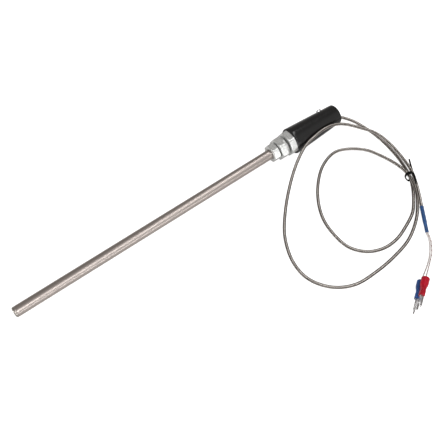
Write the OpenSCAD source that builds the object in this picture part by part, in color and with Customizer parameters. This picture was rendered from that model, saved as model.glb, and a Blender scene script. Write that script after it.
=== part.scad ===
// Rod thermocouple with a plain round sheath, a stack of hexagon fittings, a black
// tapered handle and a metal-braided lead that ends in two insulated fork terminals.
// Units are millimetres. The probe lies on the ground plane z = 0 with its tip
// towards -X, resting on the rim of its tip and on the front rim of its handle.

/* [Sheath] */
// Outside diameter of the sheath
sheath_d = 6; // [4.8:0.1:7]
// Wall of the sheath tube
sheath_wall = 0.5; // [0.4:0.05:0.6]
// Length of bare sheath in front of the compression nut
sheath_length = 165; // [60:1:400]
// Length of the welded cap that closes the tip
tip_cap_l = 1.5; // [1.2:0.1:4]
// Radius of the rounded rim of the tip
tip_round = 0.9; // [0.3:0.1:1.1]
// Depth of the cap's spigot inside the tube
tip_spigot_l = 1.5; // [0.5:0.1:4]
// Length of sheath hidden inside the handle
sheath_in_handle = 12; // [11:0.5:12.5]

/* [Thermocouple element] */
// Diameter of each thermocouple wire
wire_d = 0.6; // [0.3:0.05:0.7]
// Distance between the two wires
wire_pitch = 2.1; // [2:0.05:2.2]
// Diameter of the welded measuring bead
junction_d = 3.2; // [2.8:0.1:3.6]
// Number of ceramic insulators threaded on the wires
insulator_count = 6; // [2:1:10]
// Gap left between neighbouring insulators
insulator_gap = 0.3; // [0.1:0.05:1]
// Length of the potting that seals the open end of the sheath
seal_l = 3; // [1:0.5:6]

/* [Compression nut] */
// Width across the flats of the compression nut
nut_af = 10; // [9.6:0.1:12]
// Length of the compression nut
nut_l = 4.3; // [4:0.1:6]
// Thickness of the wall at the front of the nut
nut_wall = 0.9; // [0.6:0.05:1.2]
// Thickness of the back ferrule that slides with the nut
back_ferrule_l = 0.7; // [0.4:0.05:0.9]
// Length of the conical front ferrule
front_ferrule_l = 1.6; // [1.2:0.1:2.4]
// Gap between the nut and the fitting body
nut_gap = 0.6; // [0.4:0.1:1.2]

/* [Fitting body] */
// Width across the flats of the fitting body
body_af = 12.3; // [11.4:0.1:14]
// Length of the body's hexagon
body_hex_l = 4.2; // [3:0.1:8]
// Wall of the front thread around the sheath, under the compression nut
stub_wall = 0.95; // [0.85:0.05:1.1]
// Length of the front thread
stub_l = 3; // [2.6:0.1:3.4]
// Diameter of the round neck behind the hexagon
neck_d = 12; // [9:0.1:12.4]
// Length of the neck
neck_l = 1.1; // [0.6:0.1:3]
// Wall of the rear thread around the sheath, which carries the handle
shank_wall = 1; // [0.8:0.05:1.3]
// Length of the rear thread inside the handle
shank_l = 10.5; // [6:0.5:11.5]

/* [Lock nut] */
// Width across the flats of the lock nut
lock_af = 13.5; // [12.4:0.1:14]
// Length of the lock nut
lock_l = 4.4; // [3:0.1:7]
// Gap between the neck and the lock nut, its travel when slackened
lock_gap = 1.1; // [1.05:0.05:3]
// Outside diameter of the lock washer
washer_d = 12.6; // [10:0.1:13]
// Thickness of the lock washer
washer_l = 0.45; // [0.3:0.05:1]

/* [Handle] */
// Length of the handle
handle_l = 34.7; // [34.5:0.1:60]
// Diameter of the handle at the lock nut
handle_front_d = 16.2; // [16:0.1:20]
// Diameter of the handle at the lead
handle_rear_d = 12.2; // [11.8:0.1:16]
// Rounding of the handle's two outer rims
handle_rim = 0.4; // [0.2:0.1:0.8]
// Wall of the metal bushing pressed into the handle
bushing_wall = 1; // [0.7:0.05:1.4]
// Length of the bushing
bushing_l = 11; // [6:0.5:11.5]
// Diameter of the hollow that holds the splices
cavity_d = 9.2; // [6:0.1:10]
// Length of the thicker part of the handle between that hollow and the lead end
grip_l = 16.7; // [15.5:0.1:16.9]
// Wall of the handle around its open mouth at the lead end
mouth_wall = 1.1; // [0.8:0.1:2]
// Depth of the open mouth
mouth_depth = 6; // [4.5:0.1:6.4]

/* [Lead clamp] */
// Outside diameter of the crimp ring on the braid
crimp_d = 4.2; // [3.2:0.1:4.8]
// Outside diameter of the rubber grommet
grommet_d = 6.6; // [5:0.1:7.4]
// Length of the grommet
grommet_l = 1.5; // [1:0.1:1.6]
// Distance from the handle's lead end to the clamp screw
screw_from_end = 9; // [8.9:0.1:11.5]
// Angle of the clamp screw from straight up, towards +Y
screw_turn = 52; // [-180:1:180]
// Diameter of the clamp screw's shank
screw_d = 2; // [1.6:0.1:2.4]
// Diameter of the clamp screw's head
screw_head_d = 3; // [2.8:0.1:3.6]
// Height of the clamp screw's head
screw_head_l = 1.2; // [0.8:0.1:1.6]
// Thickness of the pad between the screw and the crimp ring
pad_l = 0.8; // [0.4:0.05:1.2]

/* [Lead] */
// Diameter of the braided lead
lead_d = 1.9; // [1.6:0.05:1.95]
// Diameter of each insulated core
core_d = 0.8; // [0.5:0.05:0.85]
// Diameter of each bare conductor
conductor_d = 0.5; // [0.3:0.05:0.55]
// Wall of the heat-shrink sleeve over the end of the braid
shrink_wall = 0.2; // [0.1:0.05:0.4]
// Diameter of the coated wire of the twist tie
tie_d = 0.7; // [0.4:0.05:0.75]

/* [Terminals] */
// Diameter of the wide end of a terminal's sleeve
sleeve_d = 4.3; // [3.8:0.1:4.3]
// Length of a terminal's sleeve
sleeve_l = 11; // [9:0.5:14]
// Length of the wide end of the sleeve
sleeve_bell_l = 5.2; // [3:0.1:6]
// Thickness of the part of the sleeve that is crimped flat
sleeve_flat = 3; // [2.6:0.1:3.4]
// Diameter of the crimped barrel
barrel_d = 2.3; // [1.6:0.1:2.4]
// Width of the fork
fork_w = 5.6; // [4.8:0.1:5.8]
// Width of the fork's slot
fork_slot = 3.2; // [2.2:0.1:3.4]
// Depth of the fork's slot
fork_slot_l = 5; // [3:0.1:5.4]
// Length of the fork beyond the sleeve
fork_l = 7.8; // [7:0.1:12]
// Thickness of the fork's metal
fork_t = 0.8; // [0.5:0.05:1]

/* [Clearances] */
// Radial gap of a fit that stays together
fit_gap = 0.02; // [0.01:0.01:0.04]
// How far the sheath is turned down under the fittings, per side
seat_step = 0.2; // [0.18:0.01:0.25]
// Where that step stands, in front of the compression nut
seat_from_nut = 0.2; // [0.1:0.05:0.5]
// Gap between pieces that turn or slide on each other
run_gap = 0.05; // [0.03:0.01:0.06]
// Play of the ceramic insulators across the bore of the sheath
insulator_play = 0.6; // [0.3:0.1:1.4]

/* [Hidden] */
$fn = 48;

// How far a cutting shape runs past the face that it cuts.
over = 1;

sheath_r = sheath_d / 2;
seat_r = sheath_r - seat_step;
lead_r = lead_d / 2;
insulator_d = sheath_d - 2 * sheath_wall - insulator_play;
stub_d = sheath_d + 2 * stub_wall;
shank_d = sheath_d + 2 * shank_wall;
bushing_d = shank_d + 2 * bushing_wall;
mouth_d = handle_rear_d - 2 * mouth_wall;
cavity_end = handle_l - grip_l;
screw_at = handle_l - screw_from_end;
shrink_d = lead_d + 2 * shrink_wall;

// Stations along the probe's axis, measured from the face of the tip.
nut_u = sheath_length;
body_u = nut_u + nut_l + nut_gap;
stub_u = body_u - stub_l;
neck_u = body_u + body_hex_l;
shank_u = neck_u + neck_l;
lock_u = shank_u + lock_gap;
handle_u = lock_u + lock_l;
mouth_u = handle_u + handle_l;
exit_u = mouth_u - mouth_depth;
sheath_end = handle_u + sheath_in_handle;
back_ferrule_u = nut_u + nut_wall + run_gap;
front_ferrule_u = back_ferrule_u + back_ferrule_l + run_gap;
washer_u = handle_u;
bushing_u = washer_u + washer_l + 2 * run_gap;
splice_gap = 0.4;
splice_u = sheath_end + splice_gap;
splice_l = 4;
splice_r = wire_d / 2 + 0.35;
splice_sleeve_l = 4.7;
splice_sleeve_wall = 0.3;
junction_u = tip_cap_l + tip_spigot_l + junction_d / 2;
grommet_u = exit_u - grommet_l;
crimp_u = handle_u + cavity_end + 0.3;
crimp_l = grommet_u - fit_gap - crimp_u;

// The front ferrule's cone.
ferrule_back_r = sheath_r + 0.6;
ferrule_nose_r = sheath_r + 0.12;

// The hexagons have one corner turned this far from the ground-facing side.
hex_turn = 26;
hex_chamfer = 0.55;

// The probe lies at this tilt, because its handle is thicker than its sheath.
handle_r = handle_front_d / 2;
rear_r = handle_rear_d / 2;
tilt = atan((handle_r - sheath_r) / (handle_u + handle_rim - tip_round));
tip_x = -mouth_u / 2;
tip_z = sheath_r * cos(tilt) - tip_round * sin(tilt);
function on_axis(u) = [tip_x + u * cos(tilt), 0, tip_z + u * sin(tilt)];
mouth = on_axis(mouth_u);

// The lead's route beyond the handle. x and y are counted from the point of the
// ground under the middle of the handle's mouth, and z from the ground. Its last
// turn leans on the side of the handle.
lead_points = [
    [-3, -0.5, 8.8], [0, -2, 8.4], [3, -4.5, 7.8], [7, -9, 6.4], [10, -15, 5],
    [12, -22, 4], [13, -29, 3.2], [13, -37, 2.6], [12, -46, 2], [9, -56, 1.9],
    [5, -63, 1.3], [-1, -70, 1], [-8, -76, 1], [-17, -80, 1], [-27, -83, 1],
    [-37, -83, 1], [-46, -79, 1], [-52, -71, 1], [-53, -60, 1], [-51, -49, 1],
    [-45, -38, 1], [-36, -28, 1], [-26, -21, 1], [-15, -18, 1], [-6, -21, 1],
    [2, -28, 1], [6, -37, 1.4], [8, -47, 2.4], [7.5, -56, 3.5], [5, -64, 3.1],
    [0.5, -71, 2.2], [-9, -80, 1.2], [-22, -87, 1], [-36, -90, 1], [-50, -91, 1],
    [-64, -90, 1], [-75, -84, 1], [-82, -73, 1], [-82, -60, 1], [-76, -46, 1.5],
    [-66, -34, 2.5], [-54, -23, 4], [-42.2, -14.4, 7], [-31.2, -handle_r - 0.9, 10.6],
    [-22.8, -rear_r - 1.7, 12.6], [-15, -rear_r - 1.1, 12.9], [-7.6, -rear_r - 2.1, 12.3],
    [-1.4, -11.2, 11], [5, -17, 9], [11, -25, 7.4], [13, -35, 6],
    [12.5, -46, 4.8], [10, -56, 4.7], [5.5, -64, 5.2], [1, -71.5, 4.3]];
// The straight heat-shrink sleeve, and how far along it the braid ends.
shrink_from = [-2, -76.5, 2.8];
shrink_to = [-11, -90, 1.2];
braid_share = 0.6;
// The two cores between the sleeve and their terminals.
positive_points = [
    [-12.2, -93.7, 0.9], [-14.6, -96.9, 0.7], [-17.8, -100, 0.9],
    [-21.6, -102.6, 1.6], [-25.9, -105.1, 2.8], [-29.8, -107.2, 4.3]];
negative_points = [
    [-12.8, -93, 0.8], [-15.1, -96.2, 0.5], [-18.3, -99.2, 0.5],
    [-21.7, -101.8, 0.7], [-25.6, -104.1, 1.2], [-29.6, -106.1, 1.9]];
// Where each terminal's sleeve begins, which way it points, how it is pitched
// and how it is rolled about its own length.
positive_at = [-35.3, -110.1, 6.6];
negative_at = [-36, -109.2, 2.3];
terminal_heading = 212;
positive_pitch = 4;
negative_pitch = 2;
positive_roll = -8;
negative_roll = 14;
core_in_terminal = 8;
// The twist tie's wire: a long tail, once round the bundle, and a short tail.
tie_points = [
    [16.7, -48.4, 2.6], [13.7, -52.8, 2.8], [11.4, -56.7, 2.5], [10.4, -58.8, 1.1],
    [8, -58.9, 0.4], [6.1, -58.5, 0.8], [5.2, -56.8, 2.6], [5.5, -56.4, 4.6],
    [6.6, -57.1, 6.1], [7.6, -58.2, 6.6], [7.6, -60, 6.6], [6.3, -62.1, 6.5],
    [4, -65.1, 6.4]];

function from_mouth(p) = [mouth[0] + p[0], p[1], p[2]];
function unit(v) = v / norm(v);
braid_end = shrink_from + braid_share * (shrink_to - shrink_from);
shrink_dir = unit(shrink_to - shrink_from);
shrink_side = unit(cross([0, 0, 1], shrink_dir));
core_shift = core_d / 2 + fit_gap;
lead_route = concat(
    [on_axis(crimp_u), on_axis(exit_u - 3), on_axis(exit_u)],
    [for (p = lead_points) from_mouth(p)],
    [from_mouth(shrink_from), from_mouth(braid_end)]);

// A smooth curve through the points, with a ring at each point and one half way
// along every stretch that is longer than the given step.
function between(a, b, c, d, t) =
    0.5 * (2 * b + (c - a) * t + (2 * a - 5 * b + 4 * c - d) * t * t
           + (3 * b - a - 3 * c + d) * t * t * t);
function smooth(p, step) = concat(
    [for (i = [0:len(p) - 2])
        let (a = i > 0 ? p[i - 1] : 2 * p[0] - p[1],
             d = i + 2 < len(p) ? p[i + 2] : 2 * p[i + 1] - p[i],
             n = norm(p[i + 1] - p[i]) > step ? 2 : 1)
        for (k = [0:n - 1]) between(a, p[i], p[i + 1], d, k / n)],
    [p[len(p) - 1]]);
function heading_at(p, i) = unit(p[min(i + 1, len(p) - 1)] - p[max(i - 1, 0)]);
// A side direction for every ring, carried along the curve without twisting.
function sides(p, i, last) = i == len(p) ? [] :
    let (t = heading_at(p, i),
         s = unit(last - (last * t) * t))
    concat([s], sides(p, i + 1, s));
function first_side(p) =
    let (t = heading_at(p, 0))
    abs(t[2]) < 0.9 ? unit(cross([0, 0, 1], t)) : unit(cross([1, 0, 0], t));

// A round cord of radius r along the points, as one closed solid with n sides.
module cord(points, r, n = 8, step = 11.5) {
    p = smooth(points, step);
    s = sides(p, 0, first_side(p));
    m = len(p);
    rings = [for (i = [0:m - 1])
        let (t = heading_at(p, i), u = cross(t, s[i]))
        for (k = [0:n - 1]) p[i] + r * (cos(360 * k / n) * s[i] + sin(360 * k / n) * u)];
    walls = [for (i = [0:m - 2], k = [0:n - 1])
        let (a = i * n + k, b = i * n + (k + 1) % n)
        for (f = [[a, a + n, b], [b, a + n, b + n]]) f];
    ends = [[for (k = [0:n - 1]) k], [for (k = [n - 1:-1:0]) (m - 1) * n + k]];
    polyhedron(rings, concat(walls, ends));
}

// Puts what is drawn along +Z from the origin on the probe's tilted axis.
module on_probe() {
    translate([tip_x, 0, tip_z]) rotate([0, 90 - tilt, 0]) children();
}

// Puts what is drawn along +Z between two points of the lead's own frame.
module laid(a, b) {
    d = b - a;
    translate(from_mouth(a)) rotate([0, acos(d[2] / norm(d)), atan2(d[1], d[0])]) children();
}

// A round bar or, with an inner radius, a tube, from station a to station b.
module bar(a, b, r, inner = 0) {
    translate([0, 0, a]) difference() {
        cylinder(r = r, h = b - a);
        if (inner > 0) translate([0, 0, -over]) cylinder(r = inner, h = b - a + 2 * over);
    }
}

// A hexagon from station a to station b, with its corners chamfered at both ends.
module hexagon(a, b, af, turn = hex_turn) {
    corner = af / 2 / cos(30);
    translate([0, 0, a]) intersection() {
        rotate([0, 0, turn]) cylinder(r = corner, h = b - a, $fn = 6);
        rotate_extrude() polygon([
            [0, 0], [af / 2 - 0.1, 0], [corner + 0.05, hex_chamfer],
            [corner + 0.05, b - a - hex_chamfer], [af / 2 - 0.1, b - a], [0, b - a]]);
    }
}

// Thermocouple sheath and what it holds

// The end of the tube that the fittings cover is turned down a little.
module sheath_tube() {
    color([0.62, 0.6, 0.57]) on_probe() {
        bar(tip_cap_l, nut_u - seat_from_nut, sheath_r, sheath_r - sheath_wall);
        bar(nut_u - seat_from_nut, sheath_end, seat_r, sheath_r - sheath_wall);
    }
}

module sheath_tip_cap() {
    color([0.6, 0.58, 0.55]) on_probe() rotate_extrude() {
        square([sheath_r - tip_round, tip_cap_l]);
        translate([0, tip_round]) square([sheath_r, tip_cap_l - tip_round]);
        intersection() {
            translate([sheath_r - tip_round, tip_round]) circle(r = tip_round);
            square([sheath_r, tip_round]);
        }
        square([sheath_r - sheath_wall - fit_gap, tip_cap_l + tip_spigot_l]);
    }
}

module measuring_junction() {
    color([0.45, 0.42, 0.4]) on_probe() difference() {
        translate([0, 0, junction_u]) sphere(d = junction_d);
        for (side = [-1, 1]) translate([0, side * wire_pitch / 2, junction_u])
            cylinder(d = wire_d, h = junction_d);
    }
}

module element_wire(side) {
    color([0.7, 0.68, 0.64]) on_probe() translate([0, side * wire_pitch / 2, 0])
        bar(junction_u, splice_u + splice_l / 2 - run_gap, wire_d / 2);
}

insulator_from = junction_u + junction_d / 2 + insulator_gap;
insulator_to = sheath_end - seal_l - insulator_gap;
insulator_step = (insulator_to - insulator_from) / insulator_count;
insulator_l = insulator_step - insulator_gap;

module insulator_bead(i) {
    start = insulator_from + (i - 1) * insulator_step;
    color([0.93, 0.92, 0.86]) on_probe() difference() {
        bar(start, start + insulator_l, insulator_d / 2);
        for (side = [-1, 1]) translate([0, side * wire_pitch / 2, start - over])
            cylinder(d = wire_d + 4 * run_gap, h = insulator_l + 2 * over);
    }
}

module sheath_seal() {
    color([0.85, 0.8, 0.7]) on_probe() difference() {
        bar(sheath_end - seal_l, sheath_end, sheath_r - sheath_wall - fit_gap);
        for (side = [-1, 1]) translate([0, side * wire_pitch / 2, sheath_end - seal_l - over])
            cylinder(d = wire_d + 2 * fit_gap, h = seal_l + 2 * over);
    }
}

// Fittings

module compression_nut() {
    color([0.8, 0.81, 0.81]) on_probe() difference() {
        hexagon(nut_u, nut_u + nut_l, nut_af);
        bar(nut_u - over, nut_u + nut_l + over, sheath_r + run_gap);
        bar(nut_u + nut_wall, nut_u + nut_l + over, stub_d / 2 + run_gap);
    }
}

module back_ferrule() {
    color([0.75, 0.66, 0.42]) on_probe()
        bar(back_ferrule_u, back_ferrule_u + back_ferrule_l, stub_d / 2 - run_gap, sheath_r + run_gap);
}

module ferrule_cone(grow) {
    translate([0, 0, front_ferrule_u])
        cylinder(r1 = ferrule_back_r + grow, r2 = ferrule_nose_r + grow, h = front_ferrule_l);
}

module front_ferrule() {
    color([0.75, 0.66, 0.42]) on_probe() difference() {
        ferrule_cone(0);
        bar(front_ferrule_u - over, front_ferrule_u + front_ferrule_l + over, seat_r + fit_gap);
    }
}

module fitting_body() {
    color([0.78, 0.79, 0.79]) on_probe() difference() {
        union() {
            bar(stub_u, body_u + over, stub_d / 2);
            hexagon(body_u, neck_u, body_af);
            bar(neck_u - over, shank_u, neck_d / 2);
            bar(shank_u - over, handle_u + shank_l, shank_d / 2);
        }
        bar(stub_u - over, handle_u + shank_l + over, seat_r + fit_gap);
        ferrule_cone(fit_gap);
    }
}

module lock_nut() {
    color([0.82, 0.83, 0.83]) on_probe() difference() {
        hexagon(lock_u, handle_u - run_gap, lock_af);
        bar(lock_u - over, handle_u + over, shank_d / 2 + run_gap);
    }
}

module lock_washer() {
    color([0.7, 0.71, 0.72]) on_probe()
        bar(washer_u, washer_u + washer_l, washer_d / 2, shank_d / 2 + run_gap);
}

// Handle and lead clamp

module handle_bushing() {
    color([0.78, 0.68, 0.4]) on_probe()
        bar(bushing_u, bushing_u + bushing_l, bushing_d / 2, shank_d / 2 + fit_gap);
}

module handle_outline() {
    polygon([
        [0, 0], [handle_r - handle_rim, 0], [handle_r, handle_rim],
        [rear_r, handle_l - handle_rim], [rear_r - handle_rim, handle_l], [0, handle_l]]);
}

// The direction of the clamp screw, drawn along +Z from the probe's axis.
module across_probe() {
    on_probe() translate([0, 0, handle_u + screw_at])
        rotate([0, 0, 180 - screw_turn]) rotate([0, 90, 0]) children();
}
handle_slope = (handle_r - rear_r) / handle_l;
screw_seat = handle_r - handle_slope * screw_at - 0.3;
pad_from = crimp_d / 2 + run_gap;

module handle_sleeve() {
    color([0.06, 0.06, 0.07]) difference() {
        on_probe() translate([0, 0, handle_u]) difference() {
            rotate_extrude() handle_outline();
            bar(-over, bushing_u - handle_u, washer_d / 2 + run_gap);
            bar(-over, bushing_u - handle_u + bushing_l, bushing_d / 2 + fit_gap);
            bar(over, cavity_end, cavity_d / 2);
            bar(over, handle_l - mouth_depth, crimp_d / 2 + run_gap);
            bar(grommet_u - handle_u, handle_l, grommet_d / 2 + fit_gap);
            bar(handle_l - mouth_depth, handle_l + over, mouth_d / 2);
        }
        across_probe() {
            bar(over, handle_front_d, screw_d / 2 + run_gap);
            bar(screw_seat, handle_front_d, screw_head_d / 2 + 2 * run_gap);
        }
    }
}

module clamp_screw() {
    slot_w = 0.45;
    slot_l = 0.55;
    color([0.75, 0.75, 0.76]) across_probe() difference() {
        union() {
            bar(pad_from + pad_l + run_gap, screw_seat + over, screw_d / 2);
            bar(screw_seat + run_gap, screw_seat + screw_head_l, screw_head_d / 2);
        }
        translate([-screw_head_d, -slot_w / 2, screw_seat + screw_head_l - slot_l])
            cube([2 * screw_head_d, slot_w, slot_l + over]);
    }
}

module clamp_pad() {
    color([0.78, 0.68, 0.4]) across_probe() bar(pad_from, pad_from + pad_l, screw_d / 2 - run_gap);
}

module braid_crimp() {
    color([0.72, 0.72, 0.73]) on_probe() bar(crimp_u, crimp_u + crimp_l, crimp_d / 2, lead_r);
}

module lead_grommet() {
    color([0.12, 0.12, 0.12]) on_probe() bar(grommet_u, exit_u, grommet_d / 2, lead_r);
}

module splice_crimp(side) {
    color([0.78, 0.78, 0.8]) on_probe() translate([0, side * wire_pitch / 2, 0])
        bar(splice_u, splice_u + splice_l, splice_r, wire_d / 2 + fit_gap);
}

module splice_sleeve(side) {
    color(side > 0 ? [0.75, 0.1, 0.1] : [0.1, 0.25, 0.7]) on_probe()
        translate([0, side * wire_pitch / 2, 0])
        bar(splice_u, splice_u + splice_sleeve_l, splice_r + splice_sleeve_wall, splice_r + fit_gap);
}

// One core inside the handle: a bare end in the splice, then the insulated core,
// which bends in to meet the end of the braid.
module inner_core(side) {
    bare_from = splice_u + splice_l / 2 + run_gap;
    bend_from = splice_u + splice_sleeve_l;
    bend_to = crimp_u - 0.3;
    far_y = side * wire_pitch / 2;
    near_y = side * core_shift;
    color([0.92, 0.9, 0.86]) on_probe() {
        translate([0, far_y, 0]) bar(bare_from, splice_u + splice_l + 0.5, conductor_d / 2);
        cord([[0, far_y, splice_u + splice_l + 0.1], [0, far_y, bend_from],
              [0, near_y, bend_to], [0, near_y, crimp_u]], core_d / 2);
    }
}

// Lead

module lead_braid() {
    color([0.55, 0.53, 0.5]) cord(lead_route, lead_r);
}

module heat_shrink() {
    length = norm(shrink_to - shrink_from);
    color([0.1, 0.3, 0.62]) laid(shrink_from, shrink_to) difference() {
        cylinder(d = shrink_d, h = length);
        translate([0, 0, -over]) cylinder(r = lead_r, h = over + braid_share * length);
        for (side = [-1, 1]) translate([0, side * core_shift, 0]) cylinder(d = core_d, h = length + over);
    }
}

function terminal_dir(pitch) = [
    cos(pitch) * cos(terminal_heading), cos(pitch) * sin(terminal_heading), sin(pitch)];
function core_route(side, points, at, pitch) = [for (p = concat(
    [braid_end + side * core_shift * shrink_side,
     shrink_to + side * core_shift * shrink_side],
    points,
    [for (d = [0, core_in_terminal / 2, core_in_terminal]) at + d * terminal_dir(pitch)])) from_mouth(p)];

module lead_core_positive() {
    color([0.88, 0.8, 0.78])
        cord(core_route(1, positive_points, positive_at, positive_pitch), core_d / 2, 8, 6);
}

module lead_core_negative() {
    color([0.92, 0.9, 0.88])
        cord(core_route(-1, negative_points, negative_at, negative_pitch), core_d / 2, 8, 6);
}

// Draws along a terminal's length from the mouth of its sleeve; the fork stands on edge.
module at_terminal(at, pitch, roll) {
    translate(from_mouth(at)) rotate([0, 90 - pitch, terminal_heading])
        rotate([0, 0, roll]) children();
}

bell_gap = 0.5;
module terminal_sleeve() {
    difference() {
        union() {
            bar(0, sleeve_bell_l, sleeve_d / 2);
            intersection() {
                bar(sleeve_bell_l - 0.5, sleeve_l, sleeve_d / 2);
                translate([-sleeve_d, -sleeve_flat / 2, 0]) cube([2 * sleeve_d, sleeve_flat, sleeve_l]);
            }
        }
        bar(-over, sleeve_bell_l - over, barrel_d / 2 + bell_gap);
        bar(-over, sleeve_l + over, barrel_d / 2 + fit_gap);
    }
}

module fork_terminal() {
    fork_from = sleeve_l + 0.1;
    shoulder = 2.2;
    color([0.82, 0.82, 0.83]) {
        bar(sleeve_bell_l - 0.5, fork_from, barrel_d / 2, core_d / 2 + fit_gap);
        translate([0, fork_t / 2, fork_from]) rotate([90, 0, 0]) linear_extrude(fork_t)
            difference() {
                polygon([
                    [-barrel_d / 2, 0], [barrel_d / 2, 0], [fork_w / 2, shoulder],
                    [fork_w / 2, fork_l - 0.6], [fork_w / 2 - 0.6, fork_l - 0.1],
                    [0.6 - fork_w / 2, fork_l - 0.1], [-fork_w / 2, fork_l - 0.6],
                    [-fork_w / 2, shoulder]]);
                translate([0, fork_l - fork_slot_l + fork_slot / 2]) {
                    circle(d = fork_slot);
                    translate([-fork_slot / 2, 0]) square([fork_slot, fork_l]);
                }
            }
    }
}

module terminal_sleeve_positive() {
    color([0.78, 0.08, 0.12]) at_terminal(positive_at, positive_pitch, positive_roll) terminal_sleeve();
}

module terminal_sleeve_negative() {
    color([0.1, 0.25, 0.6]) at_terminal(negative_at, negative_pitch, negative_roll) terminal_sleeve();
}

module fork_terminal_positive() {
    at_terminal(positive_at, positive_pitch, positive_roll) fork_terminal();
}

module fork_terminal_negative() {
    at_terminal(negative_at, negative_pitch, negative_roll) fork_terminal();
}

module twist_tie() {
    color([0.05, 0.05, 0.05]) cord([for (p = tie_points) from_mouth(p)], tie_d / 2, 8, 1.4);
}

sheath_tube();
sheath_tip_cap();
measuring_junction();
element_wire(1);  // element_wire_positive
element_wire(-1);  // element_wire_negative
for (i = [1:insulator_count])
    insulator_bead(i);
sheath_seal();
compression_nut();
back_ferrule();
front_ferrule();
fitting_body();
lock_nut();
lock_washer();
handle_bushing();
handle_sleeve();
clamp_screw();
clamp_pad();
braid_crimp();
lead_grommet();
splice_crimp(1);  // splice_crimp_positive
splice_crimp(-1);  // splice_crimp_negative
splice_sleeve(1);  // splice_sleeve_positive
splice_sleeve(-1);  // splice_sleeve_negative
inner_core(1);  // inner_core_positive
inner_core(-1);  // inner_core_negative
lead_braid();
heat_shrink();
lead_core_positive();
lead_core_negative();
terminal_sleeve_positive();
terminal_sleeve_negative();
fork_terminal_positive();
fork_terminal_negative();
twist_tie();
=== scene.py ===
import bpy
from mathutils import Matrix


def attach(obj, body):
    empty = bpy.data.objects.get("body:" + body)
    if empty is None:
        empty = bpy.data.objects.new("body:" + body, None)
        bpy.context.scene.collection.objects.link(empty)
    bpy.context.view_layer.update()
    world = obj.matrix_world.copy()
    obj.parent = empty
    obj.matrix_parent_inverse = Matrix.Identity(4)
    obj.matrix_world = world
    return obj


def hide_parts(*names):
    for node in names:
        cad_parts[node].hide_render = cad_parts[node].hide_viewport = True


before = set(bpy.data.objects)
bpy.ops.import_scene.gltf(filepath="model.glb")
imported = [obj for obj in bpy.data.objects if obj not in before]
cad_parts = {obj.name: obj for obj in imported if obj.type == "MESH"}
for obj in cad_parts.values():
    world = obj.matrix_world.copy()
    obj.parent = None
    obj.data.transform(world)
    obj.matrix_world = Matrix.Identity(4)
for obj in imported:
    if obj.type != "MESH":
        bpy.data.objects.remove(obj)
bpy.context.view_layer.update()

import math

import bmesh
import bpy
import numpy as np
from mathutils import Matrix, Vector

MM = 0.001
PROBE = "probe"
scene = bpy.context.scene

# ---------------------------------------------------------------- camera

CAMERA_LENS = 48.2
LOOK_AT = Vector((10.22, -18.83, 0.0)) * MM
VIEW_DIR = Vector((0.309, 0.421, -0.8525)).normalized()
CAMERA_DISTANCE = 334.3 * MM

camera_data = bpy.data.cameras.new("camera")
camera_data.sensor_width = 36.0
camera_data.lens = CAMERA_LENS
camera_data.clip_start = 0.01
camera_data.clip_end = 20.0
camera = bpy.data.objects.new("camera", camera_data)
camera.location = LOOK_AT - VIEW_DIR * CAMERA_DISTANCE
camera.rotation_mode = "QUATERNION"
camera.rotation_quaternion = VIEW_DIR.to_track_quat("-Z", "Y")
scene.collection.objects.link(camera)
scene.camera = camera

# ---------------------------------------------------------------- stations, in millimetres

SHEATH_R = 3.0
SEAT_R = 2.8
TIP_ROUND = 0.9
NUT_U = 165.0
SEAT_U = NUT_U - 0.2
NUT_L = 4.3
BODY_U = NUT_U + NUT_L + 0.6
NECK_U = BODY_U + 4.2
SHANK_U = NECK_U + 1.1
LOCK_U = SHANK_U + 1.1
HANDLE_U = LOCK_U + 4.4
HANDLE_L = 34.7
MOUTH_U = HANDLE_U + HANDLE_L
EXIT_U = MOUTH_U - 6.0
CRIMP_U = HANDLE_U + 18.3
SHEATH_END = HANDLE_U + 12.0
HANDLE_R, REAR_R = 8.1, 6.1
RUN_GAP, FIT_GAP = 0.05, 0.02
HEX_TURN = math.radians(26)

TILT = math.atan((HANDLE_R - SHEATH_R) / (HANDLE_U + 0.4 - TIP_ROUND))
TIP = Vector((-MOUTH_U / 2, 0, SHEATH_R * math.cos(TILT) - TIP_ROUND * math.sin(TILT)))
AXIS = Vector((math.cos(TILT), 0, math.sin(TILT)))
ON_PROBE = Matrix.Translation(TIP * MM) @ Matrix.Rotation(math.pi / 2 - TILT, 4, "Y")


def on_axis(u):
    return TIP + AXIS * u


MOUTH = on_axis(MOUTH_U)


def from_mouth(p):
    return Vector((MOUTH.x + p[0], p[1], p[2]))


# ---------------------------------------------------------------- routes, in millimetres

LEAD_POINTS = [
    (-3, -0.5, 8.8), (0, -2, 8.4), (3, -4.5, 7.8), (7, -9, 6.4), (10, -15, 5),
    (12, -22, 4), (13, -29, 3.2), (13, -37, 2.6), (12, -46, 2), (9, -56, 1.9),
    (5, -63, 1.3), (-1, -70, 1), (-8, -76, 1), (-17, -80, 1), (-27, -83, 1),
    (-37, -83, 1), (-46, -79, 1), (-52, -71, 1), (-53, -60, 1), (-51, -49, 1),
    (-45, -38, 1), (-36, -28, 1), (-26, -21, 1), (-15, -18, 1), (-6, -21, 1),
    (2, -28, 1), (6, -37, 1.4), (8, -47, 2.4), (7.5, -56, 3.5), (5, -64, 3.1),
    (0.5, -71, 2.2), (-9, -80, 1.2), (-22, -87, 1), (-36, -90, 1), (-50, -91, 1),
    (-64, -90, 1), (-75, -84, 1), (-82, -73, 1), (-82, -60, 1), (-76, -46, 1.5),
    (-66, -34, 2.5), (-54, -23, 4), (-42.2, -14.4, 7), (-31.2, -9, 10.6), (-22.8, -7.8, 12.6),
    (-15, -7.2, 12.9), (-7.6, -8.2, 12.3), (-1.4, -11.2, 11), (5, -17, 9), (11, -25, 7.4), (13, -35, 6),
    (12.5, -46, 4.8), (10, -56, 4.7), (5.5, -64, 5.2), (1, -71.5, 4.3)]
SHRINK_FROM = Vector((-2, -76.5, 2.8))
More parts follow.
